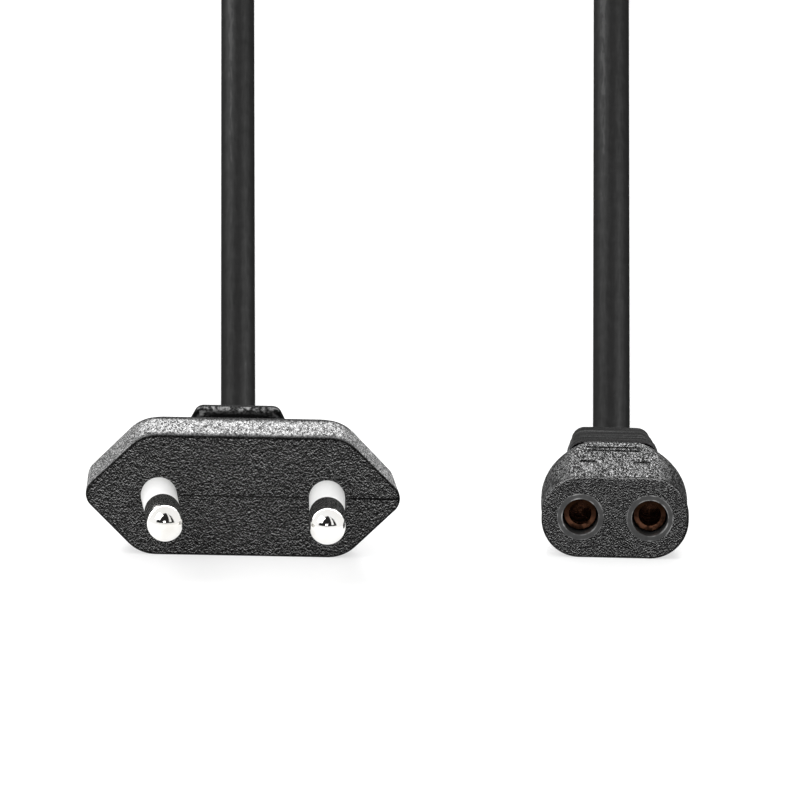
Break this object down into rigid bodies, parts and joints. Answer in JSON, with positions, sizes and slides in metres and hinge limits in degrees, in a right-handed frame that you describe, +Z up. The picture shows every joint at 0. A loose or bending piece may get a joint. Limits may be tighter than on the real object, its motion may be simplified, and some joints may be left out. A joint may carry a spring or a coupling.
{
  "type": "europlug on a mains lead",
  "caption": "Black moulded europlug with sleeved round pins on a flat flexible cord that ends in an oval appliance connector; the spare length is coiled and tied.",
  "frame": {"origin": "on the surface that the plug lies on, straight below the middle of its front block", "axes": "+X to the right seen from the pins, +Y from the pins to the cord, +Z up; the pins point to -Y"},
  "size_m": [0.0776, 0.4788, 0.0134],
  "materials": {
    "moulding": "grained",
    "sheath": "satin",
    "nickel": "polished",
    "sleeve": "satin",
    "insert": "matte",
    "carrier": "satin",
    "contact": "tarnished",
    "copper": "bright",
    "core_brown": "satin",
    "core_blue": "satin",
    "band": "satin"
  },
  "bodies": {
    "root": {"plug_body": "moulding", "pin_bridge": "insert", "pin_left": "nickel", "pin_right": "nickel", "pin_sleeve_left": "sleeve", "pin_sleeve_right": "sleeve", "plug_core_brown": "core_brown", "plug_core_blue": "core_blue", "plug_strands_brown": "copper", "plug_strands_blue": "copper", "cord_plug_run": "sheath", "cord_coil": "sheath", "cord_connector_run": "sheath", "coil_tie": "band", "connector_body": "moulding", "contact_carrier": "carrier", "contact_left": "contact", "contact_right": "contact", "connector_core_brown": "core_brown", "connector_core_blue": "core_blue", "connector_strands_brown": "copper", "connector_strands_blue": "copper"}
  },
  "joints": []
}
